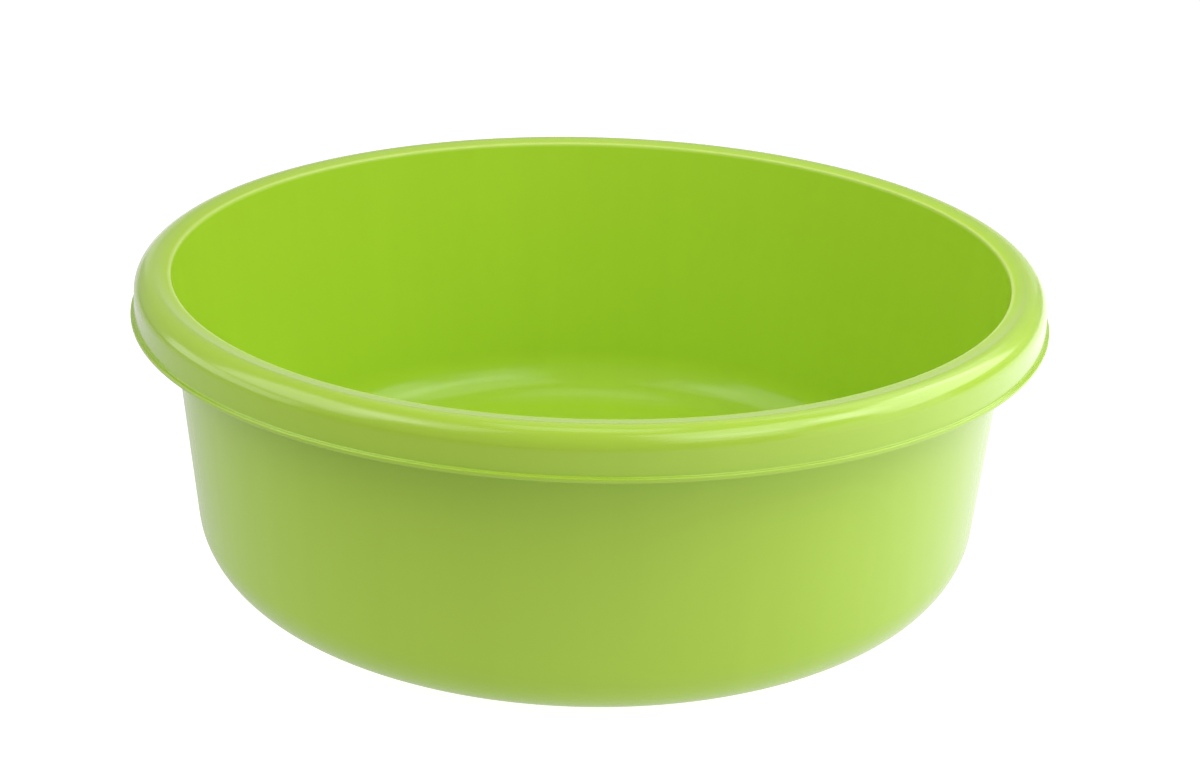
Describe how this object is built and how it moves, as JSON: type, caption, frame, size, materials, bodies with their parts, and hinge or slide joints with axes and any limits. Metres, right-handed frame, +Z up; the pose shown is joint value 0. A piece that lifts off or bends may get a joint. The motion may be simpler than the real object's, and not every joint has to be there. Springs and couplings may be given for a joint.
{
  "type": "washing-up bowl",
  "caption": "Round lime-green plastic washing-up bowl with tapered wall, coved base, flat floor and a domed, turned-down rim to carry it by.",
  "frame": {"origin": "on the table, under the centre of the bowl, level with the foot ring's face", "axes": "+Z up along the axis of the round bowl; X and Y are any two directions across it"},
  "size_m": [0.36, 0.36, 0.126],
  "materials": {
    "lime_plastic": "lime-green polypropylene, polished on the rim and outside, satin inside"
  },
  "bodies": {
    "root": {"foot_ring": "lime_plastic", "floor_disc": "lime_plastic", "lower_cove": "lime_plastic", "upper_cove": "lime_plastic", "side_wall": "lime_plastic", "rim_flange": "lime_plastic", "rim_shoulder": "lime_plastic", "rim_skirt": "lime_plastic"}
  },
  "joints": []
}
